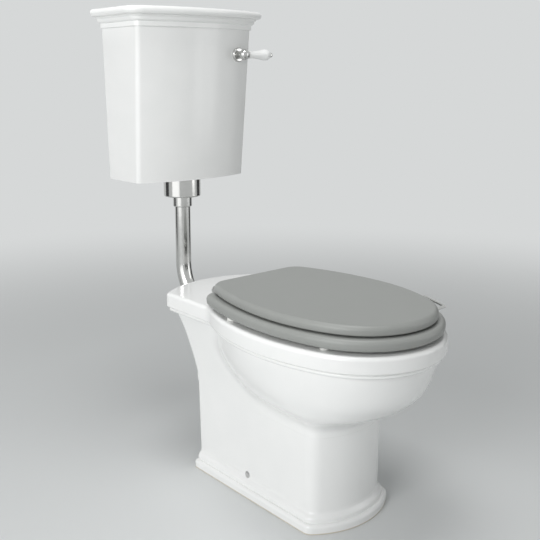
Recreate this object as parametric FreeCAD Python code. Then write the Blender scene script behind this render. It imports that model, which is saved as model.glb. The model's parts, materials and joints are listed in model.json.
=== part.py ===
import FreeCAD, Part
import math
import os

# Millimetres. X to the user's left and right, -Y towards the user, Z up, origin on the floor
# under the middle of the pan's foot.

# Pan, rim and deck
RIM_Z = 407.0
RIM_HALF = 190.0
RIM_WIDEST_Y = -83.0
RIM_FRONT_Y = -350.0
RIM_FRONT_R = 172.0
RIM_BAND_H = 33.5
RIM_TOP_ROUND = 8.0
RIM_LOWER_ROUND = 4.0
DECK_HALF = 140.0
DECK_BACK_Y = 330.0
DECK_SAG = 49.0
DECK_CORNER_R = 14.0
DECK_NECK_Y = 135.0
NECK_R = 60.0
BEAD_INSET = 6.0
BEAD_H = 8.5
BEAD_GAP = 1.0
BEAD_ROUND_SHARE = 0.45
BODY_INSET = 16.0
BODY_CORNER_R = 9.0
BODY_FRONT_TURN = 21.0
BODY_NECK_LOW = 0.28
BODY_NECK_TOP = 0.17

# Pan, pedestal and plinth
PED_HALF = 101.0
PED_BACK_Y = 230.0
PED_SAG = 12.0
PED_CORNER_R = 9.0
PED_FRONT_Y = -191.0
PED_FRONT_R = 163.0
PED_FRONT_CORNER_R = 35.0
PED_TOP_Z = 196.0
PED_FOOT_BACK_Y = 224.0
PLINTH_H = 42.0
PLINTH_BAND_H = 19.0
PLINTH_ROUND = 7.0
PLINTH_STEP = 0.5
PLINTH_OUT = 18.0
PLINTH_CORNER_R = 22.0
SIDE_SPLIT_REAR = 0.60
SIDE_SPLIT_FRONT = 0.71

# Pan, bowl, trap and inlet
BOWL_HALF = 128.0
BOWL_LENGTH = 164.0
BOWL_Y = -118.0
BOWL_EDGE_ROUND = 9.0
BOWL_UNDERCUT = 18.0
RIM_UNDER_H = 30.0
SUMP_HALF = 44.0
SUMP_LENGTH = 47.0
SUMP_Y = -20.0
SUMP_DROP = 2.0
TRAP_R = 38.0
TRAP_LOW_Z = 96.0
TRAP_WEIR_RISE = 37.0
TRAP_WEIR_Y = 140.0
TRAP_INNER_R = 8.0
TRAP_LEAD = 16.0
TRAP_STRAIGHT = 47.0
OUTLET_Z = 185.0
OUTLET_R = 51.0
OUTLET_END_Y = 287.0
OUTLET_COLLAR_R = 57.0
OUTLET_COLLAR_Y = 248.0
INLET_R = 32.0
INLET_DEPTH = 49.0
CHANNEL_R = 18.0
FOOT_WALL = 16.0
SHELL_WALL = 13.0
SIDE_HOLE_R = 7.5
SIDE_HOLE_Y = 40.0
SIDE_HOLE_Z = 42.0
JOIN_ABOVE = 3.5

# Seat ring and lid
BUFFER_H = 6.0
RING_H = 23.0
RING_HALF = 181.0
RING_MID_Y = -83.0
RING_FRONT_Y = -345.0
RING_FRONT_R = 165.0
RING_REAR_R = 600.0
RING_CORNER_R = 32.0
RING_ROUND = 9.5
RING_HOLE_HALF = 113.0
RING_HOLE_LENGTH = 152.0
RING_HOLE_Y = -122.0
SEAT_BACK_Y = 137.0
LID_GAP = 3.0
LID_H = 19.0
LID_HALF = 169.0
LID_MID_Y = -93.0
LID_FRONT_Y = -331.0
LID_FRONT_R = 150.0
LID_REAR_R = 560.0
LID_CORNER_R = 45.0
LID_ROUND = 10.0
LID_LOWER_ROUND = 4.0
BUFFER_R = 9.0
BUFFER_REAR = (156.0, 22.0)
BUFFER_FRONT = (136.0, -222.0)
LID_BUFFER_R = 6.0
LID_BUFFER_REAR = (128.0, 60.0)
LID_BUFFER_FRONT = (96.0, -262.0)

# Seat hinge
HINGE_X = 77.5
HINGE_BACK = 16.0
HINGE_UP = 25.0
HINGE_BAR_R = 5.0
POST_R = 6.5
POST_FOOT_R = 14.0
POST_FOOT_H = 2.5
POST_EYE_R = 10.5
POST_EYE_W = 14.0
ARM_EYE_R = 9.0
ARM_W = 13.0
ARM_SIDE_GAP = 0.6
STRAP_LENGTH = 40.0
SEAT_STRAP_H = 3.0
LID_STRAP_H = 2.0
STUD_R = 4.0
STUD_LENGTH = 42.0
PLUG_R = 7.0
PLUG_FIT = 0.1
SCREW_R = 1.8
SCREW_HEAD_R = 3.4
SCREW_HEAD_H = 1.2
SCREW_LENGTH = 11.0
SCREW_SPACING = 20.0
SCREW_EDGE = 2.0
SCREW_FIT = 0.05

# Lift handle on the seat ring
HANDLE_R = 3.3
HANDLE_REAR = (203.0, -180.0)
HANDLE_FRONT = (175.0, -252.0)
HANDLE_Z = 434.0
HANDLE_REACH = 40.0

# Cistern and its lid
WALL_Y = 487.0
CIS_BOTTOM_Z = 648.0
CIS_TOP_Z = 997.5
CIS_BOTTOM_HALF = 153.0
CIS_TOP_HALF = 160.1
CIS_BOTTOM_DEPTH = 122.0
CIS_TOP_DEPTH = 148.4
CIS_BOW = 28.0
CIS_CORNER_R = 13.0
CIS_LEAST_CORNER_R = 1.0
CIS_WALL = 10.0
CIS_FLOOR = 12.0
FIXING_R = 4.5
FIXING_X = 90.0
FIXING_Z = 950.0
LID_OVERHANG = 29.0
LID_BAND_OUT = 4.0
LID_BAND_H = 10.5
LID_SKIRT = 3.0
COVE_LOW_OUT = 5.0
COVE_TOP_OUT = 22.0
COVE_H = 14.0
CROWN_H = 17.0
CROWN_ROUND = 8.0
LID_LIP_H = 8.0
LID_LIP_W = 6.0
LID_LIP_GAP = 1.5
LID_FIT = 1.0
LID_TOP_H = 12.0

# Flush pipe and its joint under the cistern
PIPE_R = 19.0
PIPE_WALL = 1.5
PIPE_BACK = 78.0
PIPE_BEND_R = 110.0
PIPE_BEND_Z = 438.0
PIPE_INTO_PAN = 30.0
PIPE_INTO_TAIL = 20.0
TAIL_R = 23.75
TAIL_NECK_R = 21.3
TAIL_STEP_Z = 625.0
TAIL_END_Z = 580.0
TAIL_FIT = 0.2
TAIL_CLEAR = 0.6
PIPE_SEAL_H = 4.5
COLLAR_R = 45.0
COLLAR_H = 46.7
COLLAR_WALL = 2.0
COLLAR_ROUND = 3.0
NUT_R = 23.2
NUT_ROUND = 2.6
NUT_H = 26.0
BACKNUT_R = 36.0
BACKNUT_H = 13.0
SEAL_R = 34.0
SEAL_H = 3.0
REST_GAP = 0.2
CONE_FIT = 0.2
CONE_TIP_R = 24.0
CONE_TIP = 9.0

# Siphon
FLANGE_R = 36.0
FLANGE_H = 5.0
LEG_R = 23.0
CHAMBER_X = 62.0
CHAMBER_R = 33.0
CHAMBER_WALL = 3.0
CHAMBER_CLEAR = 12.0
SIPHON_BELOW_LEVER = 105.5
SIPHON_CROWN_H = 36.0
CROWN_WALL = 5.0
CROWN_HALF = 19.5
BOSS_R = 7.0
BOSS_H = 14.0
LIFT_ROD_R = 3.0
PLATE_GAP = 0.6
PLATE_H = 4.0
PLATE_UP = 18.0
PLATE_HOLE_R = 7.0
PLATE_HOLE_AT = 17.0
RUNNING = 0.06

# Flush lever
LEVER_X = 107.5
LEVER_Z = 936.5
LEVER_SWING = 33.0
BOSS_PAD_R = 16.0
PAD_FRONT = 163.8
PAD_BACK = 138.8
ESCUTCHEON_R = 16.5
ESCUTCHEON_H = 6.0
SLEEVE_R = 7.8
SLEEVE_LENGTH = 34.0
SLEEVE_FIT = 0.2
LEVER_NUT_R = 14.0
LEVER_NUT_H = 7.0
SPINDLE_R = 5.0
HUB_R = 12.6
HUB_NECK_R = 6.5
HUB_NECK_LENGTH = 7.0
HUB_FLAT = 1.5
HUB_GAP = 0.4
HANDLE_ROOT_R = 9.4
HANDLE_SLIM_R = 9.1
HANDLE_SLIM_AT = 22.0
HANDLE_WIDE_R = 13.0
HANDLE_WIDE_AT = 52.0
HANDLE_LENGTH = 66.5
HANDLE_END_R = 6.2
FINIAL_R = 5.8
FINIAL_LENGTH = 8.0
FINIAL_ROUND_SHARE = 0.75
CRANK_LENGTH = 45.5
CRANK_EYE_R = 9.0
CRANK_W = 10.0
CRANK_H = 4.0
CRANK_PIN_R = 2.5
CRANK_AHEAD = 14.0
PIN_PAST = 6.0
SLOT_GAP = 0.35
SLOT_RUN = 4.0
EYE_PLATE_H = 3.0
EYE_PLATE_HALF = 10.0

# Inlet valve and float
VALVE_BACK = 40.0
VALVE_Z = 890.0
VALVE_R = 13.0
VALVE_TIP_X = 96.0
VALVE_FLANGE_R = 17.0
VALVE_FLANGE_H = 4.0
VALVE_TAIL_R = 10.4
VALVE_END_R = 10.2
VALVE_END_LENGTH = 22.0
VALVE_TAIL_END_X = 190.0
VALVE_BORE_R = 4.0
VALVE_NUT_R = 16.0
VALVE_NUT_H = 8.0
WASHER_H = 2.6
WALL_GAP = 0.45
PLUNGER_R = 6.0
PLUNGER_BORE = 30.0
PLUNGER_LENGTH = 26.0
NOSE_R = 2.0
NOSE_LENGTH = 6.0
PIVOT_X = 84.0
PIVOT_DOWN = 14.0
PIVOT_PIN_R = 3.0
PIVOT_PIN_PROUD = 1.0
EAR_H = 3.0
EAR_GAP = 13.0
EAR_REACH = 8.0
ARM_EYE_OUTER = 7.0
ARM_EYE_WIDTH = 12.0
FLOAT_ARM_R = 3.0
FLOAT_REACH = 175.0
FLOAT_R = 36.0
FLOAT_AHEAD = 9.0
FLOAT_REST = 14.0
LUG_H = 17.0
LUG_HALF = 2.0
LUG_GAP = 0.5

# Shared by many pieces: cutters and fused stretches run PAST a face, plain nuts have HEX sides
PAST = 1.0
HEX = 6

# Places that several pieces share
INLET_Z = PIPE_BEND_Z - PIPE_BEND_R
PIPE_Y = WALL_Y - PIPE_BACK
INLET_Y = PIPE_Y - PIPE_BEND_R - INLET_DEPTH
RING_Z = RIM_Z + BUFFER_H
LID_Z = RING_Z + RING_H + LID_GAP
HINGE_Y = SEAT_BACK_Y + HINGE_BACK
HINGE_Z = RIM_Z + HINGE_UP
FLOOR_Z = CIS_BOTTOM_Z + CIS_FLOOR
TRAP_WEIR_Z = OUTLET_Z + TRAP_WEIR_RISE
FOOT_JOIN_Z = SIDE_HOLE_Z + SIDE_HOLE_R + JOIN_ABOVE
BOWL_JOIN_Z = OUTLET_Z + OUTLET_COLLAR_R + JOIN_ABOVE
RIM_JOIN_Z = RIM_Z - RIM_BAND_H - BEAD_GAP / 2
SUMP_Z = TRAP_LOW_Z - TRAP_R - SUMP_DROP
PED_TURN = math.acos((PED_HALF - PED_FRONT_CORNER_R) / (PED_FRONT_R - PED_FRONT_CORNER_R))
PED_REACH = (PED_FRONT_R - (PED_FRONT_R - PED_FRONT_CORNER_R) * math.sin(PED_TURN)) / PED_HALF
SIPHON_TOP = LEVER_Z - SIPHON_BELOW_LEVER
SIPHON_CROWN_Z = SIPHON_TOP - SIPHON_CROWN_H
VALVE_Y = WALL_Y - VALVE_BACK
PIVOT_Z = VALVE_Z - PIVOT_DOWN
PAD_FRONT_Y = WALL_Y - PAD_FRONT
PAD_BACK_Y = WALL_Y - PAD_BACK
HUB_FACE_Y = PAD_FRONT_Y - ESCUTCHEON_H - HUB_GAP
HUB_Y = HUB_FACE_Y - HUB_NECK_LENGTH - math.sqrt(HUB_R ** 2 - HUB_NECK_R ** 2)
HANDLE_START = HUB_R - HUB_FLAT
CRANK_Y = PIPE_Y - CRANK_AHEAD
CRANK_REST = LEVER_SWING / 2


def vec(x, y, z):
    return FreeCAD.Vector(x, y, z)


def rod(r, start, end):
    a = vec(*start)
    b = vec(*end)
    return Part.makeCylinder(r, a.distanceToPoint(b), a, b - a)


def block(x0, x1, y0, y1, z0, z1):
    return Part.makeBox(x1 - x0, y1 - y0, z1 - z0, vec(x0, y0, z0))


def toward(c, p, r):
    d = math.hypot(p[0] - c[0], p[1] - c[1])
    return (c[0] + (p[0] - c[0]) * r / d, c[1] + (p[1] - c[1]) * r / d)


def bend(c, p, q):
    # Stretch of a circle round c from p to q, the short way.
    m = toward(c, ((p[0] + q[0]) / 2, (p[1] + q[1]) / 2), math.hypot(p[0] - c[0], p[1] - c[1]))
    return (p, m, q)


def edge_of(seg, side, z):
    pts = [vec(side * p[0], p[1], z) for p in seg]
    if len(pts) == 2:
        return Part.makeLine(pts[0], pts[1])
    return Part.Arc(pts[0], pts[1], pts[2]).toShape()


def mirrored_wire(half, z):
    edges = [edge_of(s, 1, z) for s in half]
    edges += [edge_of(s[::-1], -1, z) for s in half[::-1]]
    return Part.Wire(edges)


def prism(half, z0, z1):
    return Part.Face(mirrored_wire(half, z0)).extrude(vec(0, 0, z1 - z0))


def loft(wires, ruled=False):
    return Part.makeLoft(wires, True, ruled)


def level_edges(shape, z):
    box = [(e, e.BoundBox) for e in shape.Edges]
    return [e for e, b in box if abs(b.ZMin - z) < 1e-4 and abs(b.ZMax - z) < 1e-4]


def back_bend(w, back_y, sag, corner_r, g):
    # Bowed back edge and its corner, ending on the straight side.
    r = (w * w + sag * sag) / (2 * sag)
    c = (0, back_y - r)
    k = (w - corner_r, c[1] + math.sqrt((r - corner_r) ** 2 - (w - corner_r) ** 2))
    p = toward(c, k, r + g)
    q = (w + g, k[1])
    return [bend(c, (0, back_y + g), p), bend(k, p, q)], q


def rim_half(w, back_y, sag, corner_r, neck_y, neck_r, a, mid_y, front_y, front_r, g=0.0):
    # Deck that flares into the oval rim, all stretches tangent.
    segs, q = back_bend(w, back_y, sag, corner_r, g)
    neck_c = (w + neck_r, neck_y)
    rear_r = neck_span(neck_y - mid_y, a - w) - neck_r
    rear_c = (a - rear_r, mid_y)
    length = mid_y - front_y
    side_r = (a * a + (length - front_r) ** 2 - front_r ** 2) / (2 * (a - front_r))
    side_c = (a - side_r, mid_y)
    front_c = (0, front_y + front_r)
    p3 = (w + g, neck_y)
    p4 = toward(rear_c, neck_c, rear_r + g)
    p5 = (a + g, mid_y)
    p6 = toward(side_c, front_c, side_r + g)
    segs.append((q, p3))
    segs.append(bend(neck_c, p3, p4))
    segs.append(bend(rear_c, p4, p5))
    segs.append(bend(side_c, p5, p6))
    segs.append(bend(front_c, p6, (0, front_y - g)))
    return segs


def neck_span(run, out):
    # Radii, added up, of two tangent bends that step sideways by out over a run.
    return (run * run + out * out) / (2 * out)


def front_bends(reach, turn):
    # Radii of the side and front bends for a half width of 1, where a front that reaches this far
    # changes from one bend to the other at this angle.
    c = math.cos(turn)
    k = math.sin(turn)
    side = (reach * c - 1.0 + k) / (c + k - 1.0)
    return side, (1.0 - side * (1.0 - c)) / c


def body_half(w, back_y, sag, corner_r, neck_y, neck_share, a, front_y, reach, turn):
    # Flat sides that swell out to the oval of the bowl, all stretches tangent.
    segs, q = back_bend(w, back_y, sag, corner_r, 0.0)
    side, front = front_bends(reach, turn)
    mid_y = front_y + reach * a
    span = neck_span(neck_y - mid_y, a - w)
    neck_c = (w + neck_share * span, neck_y)
    rear_c = (a - span + neck_share * span, mid_y)
    side_c = (a - side * a, mid_y)
    front_c = (0, front_y + front * a)
    p3 = (w, neck_y)
    p4 = toward(neck_c, rear_c, neck_share * span)
    p5 = (a, mid_y)
    p6 = (front * a * math.cos(turn), front_c[1] - front * a * math.sin(turn))
    segs.append((q, p3))
    segs.append(bend(neck_c, p3, p4))
    segs.append(bend(rear_c, p4, p5))
    segs.append(bend(side_c, p5, p6))
    segs.append(bend(front_c, p6, (0, front_y)))
    return segs


def pedestal_half(w, back_y, sag, corner_r, front_y, front_r, front_corner_r):
    # Straight sides and bowed front, with as many stretches as the rim outline.
    segs, q = back_bend(w, back_y, sag, corner_r, 0.0)
    c = (0, front_y + front_r)
    k_x = w - front_corner_r
    k = (k_x, c[1] - math.sqrt((front_r - front_corner_r) ** 2 - k_x ** 2))
    p6 = toward(c, k, front_r)
    p3 = (w, q[1] + (k[1] - q[1]) * SIDE_SPLIT_REAR)
    p4 = (w, q[1] + (k[1] - q[1]) * SIDE_SPLIT_FRONT)
    p5 = (w, k[1])
    segs.append((q, p3))
    segs.append((p3, p4))
    segs.append((p4, p5))
    segs.append(bend(k, p5, p6))
    segs.append(bend(c, p6, (0, front_y)))
    return segs


def rim_outline(g):
    return rim_half(DECK_HALF, DECK_BACK_Y, DECK_SAG, DECK_CORNER_R, DECK_NECK_Y, NECK_R,
                    RIM_HALF, RIM_WIDEST_Y, RIM_FRONT_Y, RIM_FRONT_R, g)


def foot_outline(out, corner_r):
    return pedestal_half(PED_HALF + out, PED_FOOT_BACK_Y, PED_SAG, PED_CORNER_R,
                         PED_FRONT_Y - out, PED_FRONT_R + out, corner_r)


def pedestal_outline():
    return pedestal_half(PED_HALF, PED_BACK_Y, PED_SAG, PED_CORNER_R,
                         PED_FRONT_Y, PED_FRONT_R, PED_FRONT_CORNER_R)


def rim_moulding():
    slab = prism(rim_outline(0.0), RIM_Z - RIM_BAND_H, RIM_Z)
    outside = level_edges(slab, RIM_Z)
    slab = slab.makeFillet(RIM_TOP_ROUND, outside)
    slab = slab.makeFillet(RIM_LOWER_ROUND, level_edges(slab, RIM_Z - RIM_BAND_H))
    slab = slab.cut(oval_prism(BOWL_HALF, BOWL_LENGTH, BOWL_Y, RIM_Z - 2 * RIM_BAND_H, RIM_Z + PAST))
    mouth = [e for e in level_edges(slab, RIM_Z) if abs(e.BoundBox.YMin - BOWL_Y + BOWL_LENGTH) < 0.1]
    slab = slab.makeFillet(BOWL_EDGE_ROUND, mouth)
    bead_top = RIM_Z - RIM_BAND_H - BEAD_GAP
    bead = prism(rim_outline(-BEAD_INSET), bead_top - BEAD_H, bead_top)
    rims = level_edges(bead, bead_top) + level_edges(bead, bead_top - BEAD_H)
    return slab, bead.makeFillet(BEAD_ROUND_SHARE * BEAD_H, rims)


def pan_body():
    # The bowl swells out of the pedestal: height, swell, side, back and neck shares.
    rows = [(0.05, 0.0008, 0.0, 0.002, 0.52), (0.107, 0.02, 0.001, 0.018, 0.58),
            (0.149, 0.065, 0.004, 0.045, 0.64), (0.191, 0.138, 0.01, 0.082, 0.7),
            (0.234, 0.24, 0.021, 0.13, 0.745), (0.295, 0.41, 0.044, 0.2, 0.8),
            (0.403, 0.63, 0.11, 0.316, 0.91), (0.53, 0.785, 0.2, 0.48, 1.02),
            (0.699, 0.905, 0.37, 0.678, 1.09), (0.854, 0.965, 0.61, 0.861, 1.054),
            (1.0, 1.0, 1.0, 1.0, 1.0)]
    rise = RIM_Z - RIM_BAND_H - BEAD_GAP - BEAD_H - PED_TOP_Z
    swell_half = RIM_HALF - BODY_INSET - PED_HALF
    swell_side = DECK_HALF - BODY_INSET - PED_HALF
    swell_front = PED_FRONT_Y - RIM_FRONT_Y - BODY_INSET
    swell_back = DECK_BACK_Y - BODY_INSET - PED_BACK_Y
    wires = [mirrored_wire(pedestal_outline(), PED_TOP_Z)]
    for h, swell, side, back, neck in rows:
        a = PED_HALF + swell * swell_half
        front_y = PED_FRONT_Y - swell * swell_front
        turn = PED_TURN + swell * (math.radians(BODY_FRONT_TURN) - PED_TURN)
        reach = PED_REACH + swell * ((RIM_WIDEST_Y - front_y) / a - PED_REACH)
        half = body_half(PED_HALF + side * swell_side, PED_BACK_Y + back * swell_back,
                         PED_SAG + back * (DECK_SAG - PED_SAG), BODY_CORNER_R,
                         RIM_WIDEST_Y + neck * (DECK_NECK_Y - RIM_WIDEST_Y),
                         BODY_NECK_LOW + h * (BODY_NECK_TOP - BODY_NECK_LOW), a, front_y, reach, turn)
        wires.append(mirrored_wire(half, PED_TOP_Z + h * rise))
    cap = prism(half, PED_TOP_Z + rise, RIM_Z - RIM_BAND_H / 2)
    return loft(wires), cap


def plinth_outline(out):
    corner = PED_FRONT_CORNER_R + out * (PLINTH_CORNER_R - PED_FRONT_CORNER_R)
    return foot_outline(out * PLINTH_OUT, corner)


def pan_foot():
    pedestal = loft([mirrored_wire(foot_outline(0.0, PED_FRONT_CORNER_R), PLINTH_H),
                     mirrored_wire(pedestal_outline(), PED_TOP_Z)], True)
    steps = [(0.0, 1.0), (0.2, 0.995), (0.32, 0.95), (0.42, 0.83), (0.51, 0.62), (0.59, 0.38),
             (0.68, 0.18), (0.8, 0.06), (1.0, 0.0)]
    wires = []
    for up, out in steps:
        wires.append(mirrored_wire(plinth_outline(out * PLINTH_STEP),
                                   PLINTH_BAND_H + up * (PLINTH_H - PLINTH_BAND_H)))
    band = prism(plinth_outline(1.0), 0.0, PLINTH_BAND_H)
    band = band.makeFillet(PLINTH_ROUND, level_edges(band, PLINTH_BAND_H))
    return pedestal, loft(wires), band


def ring_x(r_out, r_in, x0, x1, y, z):
    return rod(r_out, (x0, y, z), (x1, y, z)).cut(rod(r_in, (x0 - PAST, y, z), (x1 + PAST, y, z)))


def ring_z(r_out, r_in, x, y, z0, z1):
    return rod(r_out, (x, y, z0), (x, y, z1)).cut(rod(r_in, (x, y, z0 - PAST), (x, y, z1 + PAST)))


def ngon_face(n, r):
    turn = 2 * math.pi / n
    pts = [vec(r * math.cos(i * turn), r * math.sin(i * turn), 0) for i in range(n + 1)]
    return Part.Face(Part.makePolygon(pts))


def nut_z(n, r, hole_r, x, y, z0, z1):
    body = ngon_face(n, r).extrude(vec(0, 0, z1 - z0))
    body.translate(vec(x, y, z0))
    return body.cut(rod(hole_r, (x, y, z0 - PAST), (x, y, z1 + PAST)))


def turned(shape, point, axis, degrees):
    out = shape.copy()
    out.rotate(vec(*point), vec(*axis), degrees)
    return out


def nut_along(n, r, hole_r, start, axis, length):
    nut = nut_z(n, r, hole_r, 0, 0, 0, length)
    spin = FreeCAD.Rotation(vec(0, 0, 1), vec(*axis))
    nut.Placement = FreeCAD.Placement(vec(*start), spin)
    return nut


def pair(shape):
    return Part.makeCompound([shape, shape.mirror(vec(0, 0, 0), vec(1, 0, 0))])


def oval_wire(half, length, y, z):
    return Part.Wire([Part.Ellipse(vec(0, y + length, z), vec(-half, y, z), vec(0, y, z)).toShape()])


def oval_prism(half, length, y, z0, z1):
    return Part.Face(oval_wire(half, length, y, z0)).extrude(vec(0, 0, z1 - z0))


def bowl_hollow(grow):
    # Height, width and place shares from the sump up to the underside of the rim.
    rows = [(0.0, 0.0, 0.0), (0.119, 0.02, 0.02), (0.288, 0.115, 0.102), (0.483, 0.33, 0.357),
            (0.652, 0.66, 0.663), (0.815, 0.915, 0.878), (1.0, 1.0, 1.0)]
    low = SUMP_Z - grow
    top = RIM_Z - RIM_UNDER_H
    wide = BOWL_HALF + BOWL_UNDERCUT - SUMP_HALF
    longer = BOWL_LENGTH + BOWL_UNDERCUT - SUMP_LENGTH
    wires = []
    for h, k, s in rows:
        wires.append(oval_wire(SUMP_HALF + k * wide + grow, SUMP_LENGTH + k * longer + grow,
                               SUMP_Y + s * (BOWL_Y - SUMP_Y), low + h * (top - low)))
    return loft(wires)


def arc_yz(c, r, a0, a1):
    # Stretch of a circle round c in the plane X = 0, with angles from straight up.
    pts = [vec(0, c[0] + r * math.sin(t), c[1] + r * math.cos(t)) for t in (a0, (a0 + a1) / 2, a1)]
    return Part.Arc(*pts)


def trap_passage():
    # Out of the sump, up, over the weir and down into the outlet, all stretches tangent.
    r = TRAP_R + TRAP_INNER_R
    start_y = SUMP_Y + TRAP_LEAD
    end_y = OUTLET_END_Y - TRAP_STRAIGHT
    run = TRAP_WEIR_Y - start_y
    climb = TRAP_WEIR_Z - TRAP_LOW_Z - 2 * r
    up = math.atan2(climb, run) + math.asin(2 * r / math.hypot(run, climb))
    out = end_y - TRAP_WEIR_Y
    drop = 2 * r - TRAP_WEIR_RISE
    down = math.atan2(out, drop) - math.acos(2 * r / math.hypot(out, drop))
    low = arc_yz((start_y, TRAP_LOW_Z + r), r, math.pi, math.pi - up)
    weir = arc_yz((TRAP_WEIR_Y, TRAP_WEIR_Z - r), r, -up, down)
    last = arc_yz((end_y, OUTLET_Z + r), r, math.pi + down, math.pi)
    path = Part.Wire([low.toShape(), Part.makeLine(low.EndPoint, weir.StartPoint), weir.toShape(),
                      Part.makeLine(weir.EndPoint, last.StartPoint), last.toShape(),
                      Part.makeLine(last.EndPoint, vec(0, OUTLET_END_Y + PAST, OUTLET_Z))])
    start = Part.Wire([Part.Circle(low.StartPoint, vec(0, 1, 0), TRAP_R).toShape()])
    return path.makePipeShell([start], True, False)


def foot_inner(wall):
    return pedestal_half(PED_HALF - wall, PED_FOOT_BACK_Y - wall, PED_SAG, PED_CORNER_R,
                         PED_FRONT_Y + wall, PED_FRONT_R - wall, PED_FRONT_CORNER_R - wall)


def foot_hollow():
    core_half = max(SUMP_HALF, TRAP_R) + SHELL_WALL
    core = block(-core_half, core_half, SUMP_Y - core_half, OUTLET_END_Y,
                 SUMP_Z - SHELL_WALL, PED_TOP_Z + PAST)
    return prism(foot_inner(FOOT_WALL), 0.0, PED_TOP_Z).cut([core, bowl_hollow(SHELL_WALL)])


def cast_pan():
    slab, bead = rim_moulding()
    body, cap = pan_body()
    pedestal, cyma, band = pan_foot()
    outlet = rod(OUTLET_R, (0, TRAP_WEIR_Y, OUTLET_Z), (0, OUTLET_END_Y, OUTLET_Z))
    collar = rod(OUTLET_COLLAR_R, (0, TRAP_WEIR_Y, OUTLET_Z), (0, OUTLET_COLLAR_Y, OUTLET_Z))
    outer = body.multiFuse([cap, slab, bead, pedestal, cyma, band, outlet, collar])
    under = RIM_Z - RIM_UNDER_H
    cuts = [bowl_hollow(0.0), trap_passage(), foot_hollow(),
            oval_prism(BOWL_HALF, BOWL_LENGTH, BOWL_Y, under - PAST, RIM_Z - BOWL_EDGE_ROUND),
            rod(INLET_R, (0, INLET_Y, INLET_Z), (0, DECK_BACK_Y + INLET_DEPTH, INLET_Z)),
            rod(CHANNEL_R, (0, BOWL_Y + BOWL_LENGTH / 2, INLET_Z), (0, INLET_Y + PAST, INLET_Z))]
    inner_x = PED_HALF - 2 * FOOT_WALL
    outer_x = PED_HALF + 2 * PLINTH_OUT
    for side in (-1, 1):
        cuts.append(rod(SIDE_HOLE_R, (side * inner_x, SIDE_HOLE_Y, SIDE_HOLE_Z),
                        (side * outer_x, SIDE_HOLE_Y, SIDE_HOLE_Z)))
        cuts.append(rod(PLUG_R + PLUG_FIT, (side * HINGE_X, HINGE_Y, RIM_Z - STUD_LENGTH - PLUG_FIT),
                        (side * HINGE_X, HINGE_Y, RIM_Z + PAST)))
    return outer.cut(cuts)


CAST_PAN = cast_pan()


def pan_level(z0, z1):
    # The casting is kept as simple pieces that meet face to face: rim, bowl, pedestal, trap and plinth.
    wide = 2 * RIM_HALF
    return CAST_PAN.common(block(-wide, wide, 2 * RIM_FRONT_Y, 2 * DECK_BACK_Y, z0, z1))


def trap_room():
    return prism(foot_inner(FOOT_WALL + PAST), SUMP_Z - SHELL_WALL - PAST, BOWL_JOIN_Z)


def pan_rim():
    return pan_level(RIM_JOIN_Z, RIM_Z + PAST)


def pan_bowl():
    return pan_level(BOWL_JOIN_Z, RIM_JOIN_Z)


def pan_pedestal():
    return pan_level(FOOT_JOIN_Z, BOWL_JOIN_Z).cut(trap_room())


def pan_trap():
    return CAST_PAN.common(trap_room())


def pan_plinth():
    return pan_level(-PAST, FOOT_JOIN_Z).cut(trap_room())


def oval_half(a, mid_y, front_y, front_r, rear_r, back_y, corner_r):
    # Straight back, round corners, long side bends and a round front, all tangent.
    length = mid_y - front_y
    side_r = (a * a + (length - front_r) ** 2 - front_r ** 2) / (2 * (a - front_r))
    side_c = (a - side_r, mid_y)
    rear_c = (a - rear_r, mid_y)
    front_c = (0, front_y + front_r)
    k_y = back_y - corner_r
    k = (rear_c[0] + math.sqrt((rear_r - corner_r) ** 2 - (k_y - mid_y) ** 2), k_y)
    p1 = (k[0], back_y)
    p2 = toward(rear_c, k, rear_r)
    p3 = (a, mid_y)
    p4 = toward(side_c, front_c, side_r)
    return [((0, back_y), p1), bend(k, p1, p2), bend(rear_c, p2, p3), bend(side_c, p3, p4),
            bend(front_c, p4, (0, front_y))]


def ring_outline():
    return oval_half(RING_HALF, RING_MID_Y, RING_FRONT_Y, RING_FRONT_R, RING_REAR_R, SEAT_BACK_Y,
                     RING_CORNER_R)


def lid_outline():
    return oval_half(LID_HALF, LID_MID_Y, LID_FRONT_Y, LID_FRONT_R, LID_REAR_R, SEAT_BACK_Y,
                     LID_CORNER_R)


def seat_ring():
    ring = prism(ring_outline(), RING_Z, RING_Z + RING_H)
    ring = ring.cut(oval_prism(RING_HOLE_HALF, RING_HOLE_LENGTH, RING_HOLE_Y, RING_Z - PAST,
                               RING_Z + RING_H + PAST))
    edges = level_edges(ring, RING_Z) + level_edges(ring, RING_Z + RING_H)
    ring = ring.makeFillet(RING_ROUND, edges)
    holes = [rod(SCREW_R + SCREW_FIT, (s * x, y, RING_Z - PAST), (s * x, y, RING_Z + SCREW_LENGTH))
             for x, y in seat_screw_places() for s in (-1, 1)]
    return ring.cut(holes + handle_legs(HANDLE_R + SCREW_FIT))


def seat_lid():
    lid = prism(lid_outline(), LID_Z, LID_Z + LID_H)
    lid = lid.makeFillet(LID_ROUND, level_edges(lid, LID_Z + LID_H))
    lid = lid.makeFillet(LID_LOWER_ROUND, level_edges(lid, LID_Z))
    return lid.cut([rod(SCREW_R + SCREW_FIT, (s * x, y, LID_Z - PAST), (s * x, y, LID_Z + SCREW_LENGTH))
                    for x, y in lid_screw_places() for s in (-1, 1)])


def seat_arm_x():
    low = HINGE_X + POST_EYE_W / 2 + ARM_SIDE_GAP
    return low, low + ARM_W


def lid_arm_x():
    high = HINGE_X - POST_EYE_W / 2 - ARM_SIDE_GAP
    return high - ARM_W, high


def strap_screw_ys():
    first = SEAT_BACK_Y - STRAP_LENGTH + SCREW_HEAD_R + SCREW_EDGE
    return first, first + SCREW_SPACING


def seat_screw_places():
    x = sum(seat_arm_x()) / 2
    return [(x, y) for y in strap_screw_ys()]


def lid_screw_places():
    x = sum(lid_arm_x()) / 2
    return [(x, y) for y in strap_screw_ys()]


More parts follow.
